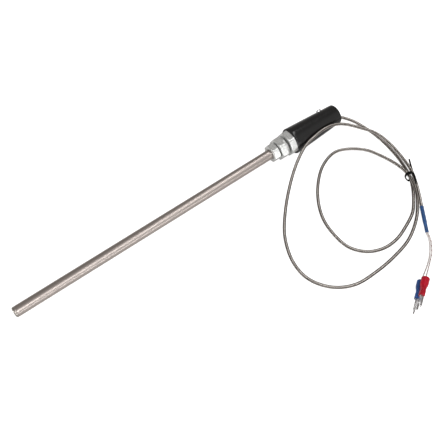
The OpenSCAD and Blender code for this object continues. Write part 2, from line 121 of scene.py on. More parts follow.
SHRINK_TO = Vector((-11, -90, 1.2))
BRAID_SHARE = 0.6
BRAID_END = SHRINK_FROM + BRAID_SHARE * (SHRINK_TO - SHRINK_FROM)
POSITIVE_POINTS = [
    (-12.2, -93.7, 0.9), (-14.6, -96.9, 0.7), (-17.8, -100, 0.9),
    (-21.6, -102.6, 1.6), (-25.9, -105.1, 2.8), (-29.8, -107.2, 4.3)]
NEGATIVE_POINTS = [
    (-12.8, -93, 0.8), (-15.1, -96.2, 0.5), (-18.3, -99.2, 0.5),
    (-21.7, -101.8, 0.7), (-25.6, -104.1, 1.2), (-29.6, -106.1, 1.9)]
POSITIVE_AT = Vector((-35.3, -110.1, 6.6))
NEGATIVE_AT = Vector((-36, -109.2, 2.3))
TERMINAL_HEADING = math.radians(212)
POSITIVE_PITCH, NEGATIVE_PITCH = math.radians(4), math.radians(2)
POSITIVE_ROLL, NEGATIVE_ROLL = math.radians(-8), math.radians(14)
CORE_IN_TERMINAL = 8.0
TIE_POINTS = [
    (16.7, -48.4, 2.6), (13.7, -52.8, 2.8), (11.4, -56.7, 2.5), (10.4, -58.8, 1.1),
    (8, -58.9, 0.4), (6.1, -58.5, 0.8), (5.2, -56.8, 2.6), (5.5, -56.4, 4.6),
    (6.6, -57.1, 6.1), (7.6, -58.2, 6.6), (7.6, -60, 6.6), (6.3, -62.1, 6.5),
    (4, -65.1, 6.4)]
LEAD_R, CORE_R, SHRINK_R, TIE_R = 0.95, 0.4, 1.15, 0.35
CORE_SHIFT = CORE_R + FIT_GAP


def smooth_route(points, per_stretch=16):
    """A smooth curve through the points, as an array of many points."""
    p = [Vector(q) for q in points]
    p = [2 * p[0] - p[1]] + p + [2 * p[-1] - p[-2]]
    out = []
    for i in range(1, len(p) - 2):
        a, b, c, d = p[i - 1:i + 3]
        for k in range(per_stretch):
            t = k / per_stretch
            out.append(0.5 * (2 * b + (c - a) * t + (2 * a - 5 * b + 4 * c - d) * t * t
                              + (3 * b - a - 3 * c + d) * t ** 3))
    out.append(p[-2])
    return np.array([tuple(q) for q in out])


class Route:
    """A centreline by its length, with side directions that don't twist."""

    def __init__(self, points, step=0.25, per_stretch=16, side=None, start=0.0):
        raw = smooth_route(points, per_stretch)
        s = np.concatenate([[0], np.cumsum(np.linalg.norm(np.diff(raw, axis=0), axis=1))])
        n = max(8, int(s[-1] / step))
        self.s = np.linspace(0, s[-1], n)
        self.p = np.stack([np.interp(self.s, s, raw[:, k]) for k in range(3)], 1)
        t = np.gradient(self.p, axis=0)
        self.t = t / np.linalg.norm(t, axis=1)[:, None]
        first = int(start * (n - 1))
        side = np.cross([0, 0, 1], self.t[first]) if side is None else np.array(side)
        self.a = np.zeros((n, 3))
        for walk in (range(first, n), range(first, -1, -1)):
            carried = side
            for i in walk:
                carried = carried - self.t[i] * (carried @ self.t[i])
                carried = carried / np.linalg.norm(carried)
                self.a[i] = carried
        self.b = np.cross(self.t, self.a)
        self.length = self.s[-1]

    def _at(self, table, s):
        return np.stack([np.interp(s, self.s, table[:, k]) for k in range(3)], -1)

    def place(self, s, angle, r):
        """Points at length s, at that angle round the centreline and radius r."""
        clipped = np.clip(s, 0, self.length)
        out = self._at(self.p, clipped)
        out = out + self._at(self.t, clipped) * (s - clipped)[..., None]
        return (out + self._at(self.a, clipped) * (r * np.cos(angle))[..., None]
                + self._at(self.b, clipped) * (r * np.sin(angle))[..., None])


LEAD_ROUTE = ([on_axis(CRIMP_U), on_axis(EXIT_U - 3), on_axis(EXIT_U)]
              + [from_mouth(p) for p in LEAD_POINTS]
              + [from_mouth(SHRINK_FROM), from_mouth(BRAID_END)])

# ---------------------------------------------------------------- mesh helpers


def new_object(name, verts, faces, smooth_angle=35, uvs=None):
    """A mesh object from points in metres. uvs holds one pair for every face corner."""
    mesh = bpy.data.meshes.new(name)
    mesh.from_pydata([tuple(v) for v in verts], [], faces)
    mesh.validate()
    if uvs is not None:
        layer = mesh.uv_layers.new(name="pattern")
        layer.data.foreach_set("uv", np.asarray(uvs, np.float32).ravel())
    obj = bpy.data.objects.new(name, mesh)
    scene.collection.objects.link(obj)
    mesh.polygons.foreach_set("use_smooth", [True] * len(mesh.polygons))
    mesh.set_sharp_from_angle(angle=math.radians(smooth_angle))
    return obj


def fix_normals(obj):
    bm = bmesh.new()
    bm.from_mesh(obj.data)
    bmesh.ops.recalc_face_normals(bm, faces=bm.faces)
    bm.to_mesh(obj.data)
    bm.free()


def revolve(name, profile, angles=96, radius=None, matrix=ON_PROBE, closed=True, smooth_angle=35):
    """Turns (station, radius) pairs round local Z. radius(u, r, angle) may reshape the radius."""
    if isinstance(angles, int):
        angles = np.linspace(0, 2 * math.pi, angles, endpoint=False)
    n, m = len(angles), len(profile)
    verts, faces = [], []
    for u, r in profile:
        for a in angles:
            rr = radius(u, r, a) if radius else r
            verts.append((rr * math.cos(a) * MM, rr * math.sin(a) * MM, u * MM))
    for i in range(m if closed else m - 1):
        j = (i + 1) % m
        for k in range(n):
            q = (k + 1) % n
            faces.append((i * n + k, i * n + q, j * n + q, j * n + k))
    if not closed:
        for ring, flip in ((0, True), (m - 1, False)):
            if profile[ring][1] == 0:
                continue
            loop = [ring * n + k for k in range(n)]
            faces.append(tuple(reversed(loop)) if flip else tuple(loop))
    obj = new_object(name, verts, faces, smooth_angle)
    bm = bmesh.new()
    bm.from_mesh(obj.data)
    bmesh.ops.remove_doubles(bm, verts=bm.verts, dist=1e-7)
    bmesh.ops.delete(bm, geom=[e for e in bm.edges if not e.link_faces], context="EDGES")
    bmesh.ops.recalc_face_normals(bm, faces=bm.faces)
    bm.to_mesh(obj.data)
    bm.free()
    obj.data.transform(matrix)
    obj.data.set_sharp_from_angle(angle=math.radians(smooth_angle))
    return obj


def arc(u, r, size, start, end, steps=6):
    """Points of a quarter round: its centre (u, r), its size, and its angles in degrees."""
    out = []
    for k in range(steps + 1):
        a = math.radians(start + (end - start) * k / steps)
        out.append((u + size * math.sin(a), r + size * math.cos(a)))
    return out


def hex_radius(flats, angle, corner_round=0.3):
    """The radius of a hexagon with slightly rounded corners, at that angle."""
    apothem = flats / 2
    corner = apothem / math.cos(math.pi / 6)
    local = (angle - HEX_TURN) % (math.pi / 3) - math.pi / 6
    return soft_min(apothem / math.cos(local), corner - corner_round * 0.25, corner_round)


def soft_min(a, b, width):
    h = max(width - abs(a - b), 0) / width
    return min(a, b) - h * h * width * 0.25


def hex_angles(per_side=26):
    """Angles that crowd together near the corners of a hexagon."""
    out = []
    for side in range(6):
        for k in range(per_side):
            t = k / per_side
            t = t - 0.55 * math.sin(2 * math.pi * t) / (2 * math.pi)
            out.append(HEX_TURN + (side + t) * math.pi / 3)
    return np.array(out)


def span(a, b, steps):
    return [a + (b - a) * k / steps for k in range(steps + 1)]


def apply_modifiers(obj):
    depsgraph = bpy.context.evaluated_depsgraph_get()
    mesh = bpy.data.meshes.new_from_object(obj.evaluated_get(depsgraph))
    obj.modifiers.clear()
    old = obj.data
    obj.data = mesh
    bpy.data.meshes.remove(old)


def cut(obj, cutter, smooth_angle=35):
    """Takes the cutter's volume out of the object and removes the cutter."""
    modifier = obj.modifiers.new("cut", "BOOLEAN")
    modifier.operation = "DIFFERENCE"
    modifier.solver = "EXACT"
    modifier.object = cutter
    apply_modifiers(obj)
    bpy.data.objects.remove(cutter)
    obj.data.polygons.foreach_set("use_smooth", [True] * len(obj.data.polygons))
    obj.data.set_sharp_from_angle(angle=math.radians(smooth_angle))
    return obj


def tube(name, route, radius_at, sides=24, step=0.4, start=0.0, end=None, squash=None):
    """A closed tube along a route. radius_at(s) gives its radius in millimetres.
    squash(s, angle) may scale the radius. Its UVs run (round the tube, along it in mm)."""
    end = route.length if end is None else end
    n = max(3, int((end - start) / step) + 1)
    s = np.linspace(start, end, n)
    angles = np.linspace(0, 2 * math.pi, sides, endpoint=False)
    grid_s, grid_a = np.meshgrid(s, angles, indexing="ij")
    r = np.array([radius_at(x) for x in s])[:, None] * np.ones(sides)
    if squash is not None:
        r = r * squash(grid_s, grid_a)
    verts = (route.place(grid_s, grid_a, r) * MM).reshape(-1, 3)
    faces, uvs = [], []
    for i in range(n - 1):
        for k in range(sides):
            q = (k + 1) % sides
            faces.append((i * sides + k, i * sides + q, (i + 1) * sides + q, (i + 1) * sides + k))
            u0, u1 = k / sides, (k + 1) / sides
            uvs += [(u0, s[i]), (u1, s[i]), (u1, s[i + 1]), (u0, s[i + 1])]
    first = tuple(reversed(range(sides)))
    last = tuple((n - 1) * sides + k for k in range(sides))
    for cap, at in ((first, s[0]), (last, s[-1])):
        faces.append(cap)
        uvs += [(0, at)] * sides
    return new_object(name, verts, faces, 50, uvs)


def loft(name, rows, angles=64, matrix=None, smooth_angle=40):
    """A closed skin through elliptical rings (station, half width, half thickness, power)."""
    ring = np.linspace(0, 2 * math.pi, angles, endpoint=False)
    verts, faces = [], []
    for row in rows:
        u, a, b = row[:3]
        power = row[3] if len(row) > 3 else 2.0
        for t in ring:
            c, s = math.cos(t), math.sin(t)
            x = a * math.copysign(abs(c) ** (2 / power), c)
            y = b * math.copysign(abs(s) ** (2 / power), s)
            verts.append((x * MM, y * MM, u * MM))
    n, m = angles, len(rows)
    for i in range(m):
        j = (i + 1) % m
        for k in range(n):
            q = (k + 1) % n
            faces.append((i * n + k, i * n + q, j * n + q, j * n + k))
    obj = new_object(name, verts, faces, smooth_angle)
    fix_normals(obj)
    obj.data.transform(matrix)
    obj.data.set_sharp_from_angle(angle=math.radians(smooth_angle))
    return obj


def join(name, *objs):
    """One object out of several."""
    merged = bmesh.new()
    for o in objs:
        merged.from_mesh(o.data)
    mesh = bpy.data.meshes.new(name)
    merged.to_mesh(mesh)
    merged.free()
    for o in objs:
        old = o.data
        bpy.data.objects.remove(o)
        bpy.data.meshes.remove(old)
    obj = bpy.data.objects.new(name, mesh)
    scene.collection.objects.link(obj)
    return obj


# ---------------------------------------------------------------- materials


class Look:
    """A material with one Principled shader, and short calls for the nodes that feed it."""

    def __init__(self, name, color, roughness, metallic=0.0, **values):
        self.mat = bpy.data.materials.new(name)
        self.mat.use_nodes = True
        self.tree = self.mat.node_tree
        self.shader = next(n for n in self.tree.nodes if n.type == "BSDF_PRINCIPLED")
        self.set("Base Color", (*color, 1.0))
        self.set("Roughness", roughness)
        self.set("Metallic", metallic)
        for key, value in values.items():
            self.set(key.replace("_", " ").title().replace("Ior", "IOR"), value)
        self.mat.diffuse_color = (*color, 1.0)

    def set(self, socket, value):
        self.shader.inputs[socket].default_value = value

    def node(self, kind, **settings):
        n = self.tree.nodes.new("ShaderNode" + kind)
        for key, value in settings.items():
            setattr(n, key, value)
        return n

    def link(self, a, b):
        self.tree.links.new(a, b)

    def coords(self, scale=(1, 1, 1), rotation=(0, 0, 0)):
        """Object coordinates, turned first and then scaled."""
        vector = self.node("TexCoord").outputs["Object"]
        for key, value in (("Rotation", rotation), ("Scale", scale)):
            mapping = self.node("Mapping")
            mapping.inputs[key].default_value = value
            self.link(vector, mapping.inputs["Vector"])
            vector = mapping.outputs["Vector"]
        return vector

    def noise(self, vector, scale, detail=3.0, rough=0.55):
        n = self.node("TexNoise")
        n.inputs["Scale"].default_value = scale
        n.inputs["Detail"].default_value = detail
        n.inputs["Roughness"].default_value = rough
        self.link(vector, n.inputs["Vector"])
        return n.outputs["Fac"]

    def ramp(self, fac, *stops):
        n = self.node("ValToRGB")
        elements = n.color_ramp.elements
        while len(elements) > 1:
            elements.remove(elements[-1])
        for i, (at, color) in enumerate(stops):
            e = elements[0] if i == 0 else elements.new(at)
            e.position = at
            e.color = (*color, 1.0) if len(color) == 3 else color
        self.link(fac, n.inputs["Fac"])
        return n.outputs["Color"]

    def mix(self, fac, a, b, blend="MIX"):
        n = self.node("Mix", data_type="RGBA", blend_type=blend)
        for socket, value in ((n.inputs[0], fac), (n.inputs[6], a), (n.inputs[7], b)):
            if hasattr(value, "is_output"):
                self.link(value, socket)
            elif isinstance(value, (int, float)):
                socket.default_value = value
            else:
                socket.default_value = (*value, 1.0)
        return n.outputs[2]

    def math(self, op, *values):
        n = self.node("Math", operation=op)
        for socket, value in zip(n.inputs, values):
            if hasattr(value, "is_output"):
                self.link(value, socket)
            else:
                socket.default_value = value
        return n.outputs[0]

    def range(self, fac, low, high, from_low=0.0, from_high=1.0):
        n = self.node("MapRange")
        n.inputs["From Min"].default_value = from_low
        n.inputs["From Max"].default_value = from_high
        n.inputs["To Min"].default_value = low
        n.inputs["To Max"].default_value = high
        self.link(fac, n.inputs["Value"])
        return n.outputs["Result"]

    def color(self, socket):
        self.link(socket, self.shader.inputs["Base Color"])
        return self

    def roughness(self, socket):
        self.link(socket, self.shader.inputs["Roughness"])
        return self

    def bump(self, height, strength, distance, after=None):
        n = self.node("Bump")
        n.inputs["Strength"].default_value = strength
        n.inputs["Distance"].default_value = distance
        self.link(height, n.inputs["Height"])
        if after is not None:
            self.link(after, n.inputs["Normal"])
        self.link(n.outputs["Normal"], self.shader.inputs["Normal"])
        return n.outputs["Normal"]


def metal(name, light, dark, rough, grain, depth, streak=None, metallic=1.0):
    """Metal with a fine grain. streak gives the stretch of drawing lines along the probe."""
    look = Look(name, light, sum(rough) / 2, metallic)
    if streak:
        where = look.coords(streak, (0, TILT, 0))
        fine = look.noise(where, 1.0, 2.0, 0.5)
    else:
        where = look.coords()
        fine = look.noise(where, grain, 4.0, 0.6)
    broad = look.noise(look.coords(), 160.0, 2.0)
    tone = look.ramp(fine, (0.3, dark), (0.7, light))
    look.color(look.mix(look.range(broad, 0.0, 0.35, 0.3, 0.7), tone, dark))
    look.roughness(look.range(fine, rough[0], rough[1], 0.25, 0.75))
    if depth:
        look.bump(fine, 0.35, depth)
    return look


def moulded(name, color, roughness, grain=2600.0, depth=0.00001, tint=0.75, **values):
    """Plastic or rubber with a slight surface grain and small changes of tone."""
    look = Look(name, color, roughness, **values)
    where = look.coords()
    broad = look.noise(where, 240.0, 3.0)
    fine = look.noise(where, grain, 3.0)
    darker = tuple(c * tint for c in color)
    look.color(look.ramp(broad, (0.32, darker), (0.68, color)))
    look.roughness(look.range(broad, roughness * 0.85, min(1, roughness * 1.2), 0.3, 0.7))
    look.bump(fine, 0.3, depth)
    return look


def make_ribbon(name, light, dark):
    """A flat ribbon of five fine wires side by side, by its UVs, with painted shade in the grooves between
    the wires.
    """
    look = Look(name, light, 0.42, 1.0)
    across = look.node("UVMap", uv_map="pattern")
    split = look.node("SeparateXYZ")
    look.link(across.outputs["UV"], split.inputs["Vector"])
    wave = look.math("SINE", look.math("MULTIPLY", split.outputs["X"], 5 * math.pi))
    wires = look.math("ABSOLUTE", wave)
    spots = look.noise(look.coords(), 700.0, 4.0, 0.6)
    tone = look.ramp(spots, (0.3, dark), (0.7, light))
    # Painted shade: the colour darkens in the grooves between the fine wires.
    painted_groove_shade = tuple(c * 0.4 for c in dark)
    look.color(look.mix(look.range(wires, 0.5, 0.0, 0.0, 0.6), tone, painted_groove_shade))
    look.roughness(look.range(spots, 0.34, 0.5, 0.3, 0.7))
    look.bump(wires, 0.5, 0.00003)
    return look.mat


def make_materials():
    made = {}
    made["sheath"] = metal("sheath_steel", (0.63, 0.565, 0.53), (0.52, 0.465, 0.435), (0.34, 0.36),
                           0, 0, streak=(7, 700, 700)).mat
    for key, *values in (
        ("tip", "tip_steel", (0.66, 0.62, 0.58), (0.4, 0.37, 0.34), (0.26, 0.42), 3200, 0.00001),
        ("zinc", "plated_zinc", (0.93, 0.94, 0.93), (0.72, 0.73, 0.72), (0.2, 0.3), 1500, 0.00002,
         None, 0.72),
        # The thread colour is darkened: painted shade for the grooves between the hexagons.
        ("zinc_dark", "plated_thread", (0.3, 0.3, 0.29), (0.15, 0.15, 0.145), (0.3, 0.5), 2300, 0.00002),
        ("washer", "washer_steel", (0.7, 0.71, 0.72), (0.5, 0.5, 0.52), (0.25, 0.4), 2600, 0.00001),
        ("screw", "screw_steel", (0.86, 0.86, 0.87), (0.58, 0.58, 0.6), (0.16, 0.3), 3000, 0.000008),
        ("tin", "tinned_copper", (0.8, 0.79, 0.79), (0.5, 0.49, 0.49), (0.2, 0.36), 2400, 0.000012),
        ("brass", "brass", (0.78, 0.6, 0.3), (0.56, 0.42, 0.2), (0.22, 0.36), 2600, 0.00001),
        ("wire_a", "element_alloy_a", (0.66, 0.64, 0.62), (0.45, 0.43, 0.42), (0.25, 0.4), 3000, 0.000006),
        ("wire_b", "element_alloy_b", (0.56, 0.54, 0.5), (0.36, 0.34, 0.32), (0.25, 0.4), 3000, 0.000006),
        ("bead", "welded_bead", (0.42, 0.38, 0.36), (0.2, 0.17, 0.2), (0.3, 0.55), 2600, 0.00003),
    ):
        made[key] = metal(*values).mat
    made["ceramic"] = moulded("ceramic", (0.9, 0.88, 0.8), 0.55, 3200, 0.000012, 0.9).mat
    made["potting"] = moulded("potting", (0.74, 0.69, 0.56), 0.4, 1800, 0.00002, 0.85).mat
    made["rubber"] = moulded("grommet_rubber", (0.02, 0.02, 0.021), 0.62, 2600, 0.00002).mat
    made["splice_red"] = moulded("splice_red", (0.5, 0.02, 0.02), 0.35).mat
    made["splice_blue"] = moulded("splice_blue", (0.02, 0.08, 0.4), 0.35).mat
    made["tie"] = moulded("tie_coating", (0.004, 0.004, 0.004), 0.5, 2400, 0.00001,
                          0.7, specular_ior_level=0.2).mat
    made["handle"] = moulded("handle_black", (0.008, 0.008, 0.0083), 0.18, 2600, 0.000003,
                             0.8, specular_ior_level=0.6).mat
    made["shrink"] = moulded("shrink_blue", (0.025, 0.11, 0.33), 0.36, 1400, 0.00003,
                             0.7, coat_weight=0.25, coat_roughness=0.25).mat
    made["sleeve_red"] = moulded("sleeve_red", (0.68, 0.006, 0.03), 0.36, 1500, 0.00003,
                                 0.7, specular_ior_level=0.3).mat
    made["sleeve_blue"] = moulded("sleeve_blue", (0.02, 0.12, 0.46), 0.32, 1500, 0.00003,
                                  0.6, coat_weight=0.3, coat_roughness=0.2).mat

    # The two winding families are one metal in a lit and a shaded copy: the right-hand family's colour holds
    # a painted highlight, the left-hand family's a painted shade.
    for key, light, dark in (("braid_painted_lit", (0.95, 0.89, 0.84), (0.64, 0.59, 0.55)),
                             ("braid_painted_shade", (0.16, 0.145, 0.135), (0.08, 0.072, 0.067))):
        made[key] = make_ribbon(key, light, dark)
    # A near-black tube under the braid: painted shade seen through the braid's gaps.
    made["painted_shade_liner"] = moulded("braid_painted_shade_liner", (0.045, 0.041, 0.038), 0.8, 2600, 0.00002).mat

    for key, traced in (("yarn_traced", True), ("yarn", False)):
        yarn = Look(key, (0.88, 0.82, 0.8), 0.7, sheen_weight=0.3)
        uv = yarn.node("UVMap", uv_map="pattern")
        split = yarn.node("SeparateXYZ")
        yarn.link(uv.outputs["UV"], split.inputs["Vector"])
        x, y = split.outputs["X"], split.outputs["Y"]
        around, along = yarn.math("MULTIPLY", x, 6.0), yarn.math("MULTIPLY", y, 1.9)
        left, right = (yarn.math("SINE", yarn.math("MULTIPLY", yarn.math(op, around, along), 2 * math.pi))
                       for op in ("ADD", "SUBTRACT"))
        weave = yarn.math("MAXIMUM", left, right)
        height = yarn.range(weave, 0.0, 1.0, -1.0, 1.0)
        # Painted shade: the yarn colour darkens in the hollows of the weave.
        base = yarn.ramp(height, (0.3, (0.66, 0.58, 0.56)), (0.75, (0.92, 0.87, 0.85)))
        if traced:
            turn = yarn.math("FRACT", yarn.math("ADD", x, yarn.math("MULTIPLY", y, 0.32)))
            dash = yarn.math("FRACT", yarn.math("MULTIPLY", y, 0.95))
            mark = yarn.math("MULTIPLY", yarn.math("LESS_THAN", turn, 0.2), yarn.math("LESS_THAN", dash, 0.6))
            base = yarn.mix(mark, base, (0.3, 0.05, 0.04))
        yarn.color(base)
        yarn.bump(weave, 0.5, 0.00004)
        made[key] = yarn.mat
    return made


MATERIAL = make_materials()


def finish_with(obj, key):
    obj.data.materials.clear()
    obj.data.materials.append(MATERIAL[key])
    return obj


# ---------------------------------------------------------------- the lead

BRAID_STEP = 9.4
CARRIERS = 8
RIBBON_W, RIBBON_T = 0.56, 0.085
BRAID_R, BRAID_LIFT = 0.852, 0.05


def floats(k, carrier, family):
    """Whether this ribbon lies over (1) or under (-1) at its crossing number k."""
    if family > 0:
        return np.where((k + 2 * carrier) % 4 < 2, 1.0, -1.0)
    return np.where((2 * carrier - k) % 4 < 2, -1.0, 1.0)


def ribbons(name, route, family, step=0.2):
    """One half of a braid: eight flat ribbons of wire that wind the same way."""
    crossing = BRAID_STEP / (2 * CARRIERS)
    slope = math.atan2(2 * math.pi * BRAID_R, BRAID_STEP)
    s = np.arange(0.3, route.length - 0.3, step)
    k = s / crossing
    low = np.floor(k).astype(int)
    part = k - low
    part = part * part * (3 - 2 * part)
    half = RIBBON_W / 2
    section = ((-half, -0.25), (0.0, 0.5), (half, -0.25), (0.0, -0.5))
    verts, faces, uvs = [], [], []
    n = len(s)
    for carrier in range(CARRIERS):
        lift = floats(low, carrier, family) * (1 - part) + floats(low + 1, carrier, family) * part
        angle = 2 * math.pi * (family * s / BRAID_STEP + carrier / CARRIERS)
        radius = BRAID_R + BRAID_LIFT * lift
        rings = []
        for x, y in section:
            along = s - x * math.sin(slope) * family
            turned = angle + x * math.cos(slope) / BRAID_R
            rings.append(route.place(along, turned, radius + y * RIBBON_T) * MM)
        grid = np.stack(rings, 1)
        base = sum(len(v) for v in verts)
        verts.append(grid.reshape(-1, 3))
        index = base + np.arange(n * 4).reshape(n, 4)
        for c, (u0, u1) in enumerate(((0.0, 0.5), (0.5, 1.0), (1.0, 0.5), (0.5, 0.0))):
            d = (c + 1) % 4
            quad = np.stack([index[:-1, c], index[:-1, d], index[1:, d], index[1:, c]], 1)
            faces.append(quad)
            pairs = np.empty((n - 1, 4, 2), np.float32)
            pairs[:, 0] = np.stack([np.full(n - 1, u0), s[:-1]], 1)
            pairs[:, 1] = np.stack([np.full(n - 1, u1), s[:-1]], 1)
            pairs[:, 2] = np.stack([np.full(n - 1, u1), s[1:]], 1)
            pairs[:, 3] = np.stack([np.full(n - 1, u0), s[1:]], 1)
            uvs.append(pairs.reshape(-1, 2))
    verts = np.concatenate(verts)
    faces = np.concatenate(faces)
    mesh = bpy.data.meshes.new(name)
    mesh.vertices.add(len(verts))
    mesh.vertices.foreach_set("co", verts.astype(np.float32).ravel())
    mesh.loops.add(faces.size)
    mesh.loops.foreach_set("vertex_index", faces.astype(np.int32).ravel())
    mesh.polygons.add(len(faces))
    mesh.polygons.foreach_set("loop_start", np.arange(0, faces.size, 4, dtype=np.int32))
    mesh.polygons.foreach_set("use_smooth", np.ones(len(faces), bool))
    mesh.update(calc_edges=True)
    mesh.uv_layers.new(name="pattern").data.foreach_set("uv", np.concatenate(uvs).ravel())
    mesh.set_sharp_from_angle(angle=math.radians(75))
    obj = bpy.data.objects.new(name, mesh)
    scene.collection.objects.link(obj)
    return obj


lead = Route(LEAD_ROUTE)
# The near-black tube under the ribbons is painted shade seen through the braid's gaps.
painted_shade_liner = tube("lead_braid_painted_shade_liner", lead, lambda s: 0.76, sides=10, step=1.2)
finish_with(painted_shade_liner, "painted_shade_liner")
braid_right = finish_with(ribbons("lead_braid_right", lead, 1), "braid_painted_lit")
braid_left = finish_with(ribbons("lead_braid_left", lead, -1), "braid_painted_shade")

# The sleeve shrunk over the braid's end and the two cores.
shrink_line = Route([from_mouth(SHRINK_FROM), from_mouth(SHRINK_FROM.lerp(SHRINK_TO, 0.5)),
                     from_mouth(SHRINK_TO)], step=0.1)


def shrink_radius(s):
    edge = min(s, shrink_line.length - s)
    lip = 0.06 * math.exp(-((edge - 0.5) / 0.3) ** 2) - 0.12 * max(0.0, 1 - edge / 0.12)
    return SHRINK_R - 0.05 + lip + 0.012 * math.sin(s * 2.3) + 0.01 * math.sin(s * 5.1 + 1)


def shrink_section(s, a):
    """Round over the braid, then drawn in round the pair of cores."""
    t = np.clip((s / shrink_line.length - BRAID_SHARE) / 0.16, 0, 1)
    t = t * t * (3 - 2 * t)
    oval = np.sqrt(1 / ((np.cos(a) / 0.93) ** 2 + (np.sin(a) / 0.62) ** 2))
    return 1 + t * (oval - 1)


shrink = tube("heat_shrink_sleeve", shrink_line, shrink_radius, sides=40, step=0.12, squash=shrink_section)
finish_with(shrink, "shrink")


def terminal_dir(pitch):
    return Vector((math.cos(pitch) * math.cos(TERMINAL_HEADING),
                   math.cos(pitch) * math.sin(TERMINAL_HEADING), math.sin(pitch)))


SHRINK_SIDE = Vector((0, 0, 1)).cross(SHRINK_TO - SHRINK_FROM).normalized()


def core_route(side, points, at, pitch):
    inside = [at + d * terminal_dir(pitch) for d in (0, CORE_IN_TERMINAL / 2, CORE_IN_TERMINAL)]
    shift = side * CORE_SHIFT * SHRINK_SIDE
    return [from_mouth(p) for p in [BRAID_END + shift, SHRINK_TO + shift, *points, *inside]]


CORES = {
    "positive": (1, POSITIVE_POINTS, POSITIVE_AT, POSITIVE_PITCH, POSITIVE_ROLL, "yarn_traced"),
    "negative": (-1, NEGATIVE_POINTS, NEGATIVE_AT, NEGATIVE_PITCH, NEGATIVE_ROLL, "yarn"),
}


def terminal_matrix(at, pitch, roll):
    return (Matrix.Translation(from_mouth(at) * MM) @ Matrix.Rotation(TERMINAL_HEADING, 4, "Z")
            @ Matrix.Rotation(math.pi / 2 - pitch, 4, "Y") @ Matrix.Rotation(roll, 4, "Z"))


def make_sleeve(name, matrix):
    """A vinyl sleeve: a wide bell with a thick lip, a neck, and a crimped flat part."""
    rows = [(0.0, 1.78, 1.78), (0.0, 2.0, 2.0), (0.06, 2.09, 2.09), (0.18, 2.14, 2.14), (0.4, 2.15, 2.15),
            (2.0, 2.13, 2.12), (3.6, 2.12, 2.08), (4.3, 2.09, 2.0), (4.8, 2.03, 1.86), (5.3, 1.96, 1.68, 2.1),
            (5.8, 1.92, 1.54, 2.3), (6.3, 1.93, 1.46, 2.6), (6.7, 1.96, 1.36, 2.8), (7.1, 1.98, 1.24, 3.0),
            (7.5, 1.99, 1.19, 3.0), (7.9, 1.98, 1.24, 3.0), (8.3, 1.96, 1.38, 2.8), (8.7, 1.94, 1.44, 2.6),
            (9.1, 1.95, 1.36, 2.7), (9.5, 1.96, 1.3, 2.8), (9.9, 1.94, 1.38, 2.6), (10.4, 1.9, 1.44, 2.4),
            (10.8, 1.86, 1.44, 2.3), (10.95, 1.8, 1.38, 2.2), (11.0, 1.66, 1.3, 2.1),
            (11.0, 1.24, 1.19), (10.6, 1.18, 1.17), (6.0, 1.18, 1.17), (4.4, 1.3, 1.3), (3.2, 1.6, 1.6),
            (1.2, 1.74, 1.74)]
    return loft(name, rows, 72, matrix, 50)


def make_fork(name, matrix):
    """A stamped fork: a seamed barrel, a pinched neck and a flat tongue with a slot."""
    flat, width, slot, length, slot_l, first = 0.4, 5.6, 3.2, 7.8, 5.0, 11.1
    flank = [(1.15 + 1.65 * t * t * (3 - 2 * t), 0.3 + 2.1 * t) for t in span(0.1, 1, 6)]
    outline = [(-1.15, 0.0), (1.15, 0.0)] + flank
    tip = length - 0.1
    for side in (1, -1):
        edge = [(width / 2, tip - 1.1)]
        edge += [(width / 2 - 0.6 + 0.6 * math.cos(a), tip - 0.6 + 0.6 * math.sin(a))
                 for a in span(0, math.pi / 2, 5)]
        edge += [(slot / 2 + 0.25, tip), (slot / 2, tip - 0.3)]
        centre = length - slot_l + slot / 2
        arc_points = [(slot / 2 * math.cos(a), centre - slot / 2 * math.sin(a))
                      for a in span(0, math.pi / 2, 9)]
        if side > 0:
            outline += edge + arc_points
        else:
            outline += [(-x, z) for x, z in reversed(edge + arc_points[:-1])]
    outline += [(-x, z) for x, z in reversed(flank)]
    bm = bmesh.new()
    verts = [bm.verts.new((x * MM, -flat * MM, (first + z) * MM)) for x, z in outline]
    face = bm.faces.new(verts)
    grown = bmesh.ops.extrude_face_region(bm, geom=[face])
    moved = [g for g in grown["geom"] if isinstance(g, bmesh.types.BMVert)]
    bmesh.ops.translate(bm, verts=moved, vec=(0, 2 * flat * MM, 0))
    bmesh.ops.recalc_face_normals(bm, faces=bm.faces)
    rim = [e for e in bm.edges if len(e.link_faces) == 2 and e.calc_face_angle(0) > 1.2]
    bmesh.ops.bevel(bm, geom=rim, offset=0.11 * MM, segments=3, affect="EDGES", profile=0.6)
    mesh = bpy.data.meshes.new(name + "_tongue")
    bm.to_mesh(mesh)
    bm.free()
    tongue = bpy.data.objects.new(name + "_tongue", mesh)
    scene.collection.objects.link(tongue)
    barrel = loft(name + "_barrel", [
        (4.7, 1.12, 1.12), (4.78, 1.15, 1.15), (10.7, 1.15, 1.15), (11.0, 1.15, 1.08), (11.5, 1.22, 0.8, 2.4),
        (12.1, 1.36, 0.56, 3.0), (12.7, 1.5, 0.42, 4.0), (13.1, 1.3, 0.3, 4.0), (12.0, 0.6, 0.2, 3.0),
        (11.0, 0.42, 0.42), (4.8, 0.42, 0.42), (4.7, 0.45, 0.45)], 48, Matrix.Identity(4), 40)
    obj = join(name, tongue, barrel)
    obj.data.transform(matrix)
    obj.data.polygons.foreach_set("use_smooth", [True] * len(obj.data.polygons))
    obj.data.set_sharp_from_angle(angle=math.radians(32))
    return obj


def yarn_radius(s):
    return CORE_R - 0.012 + 0.012 * math.sin(s * 11.9)


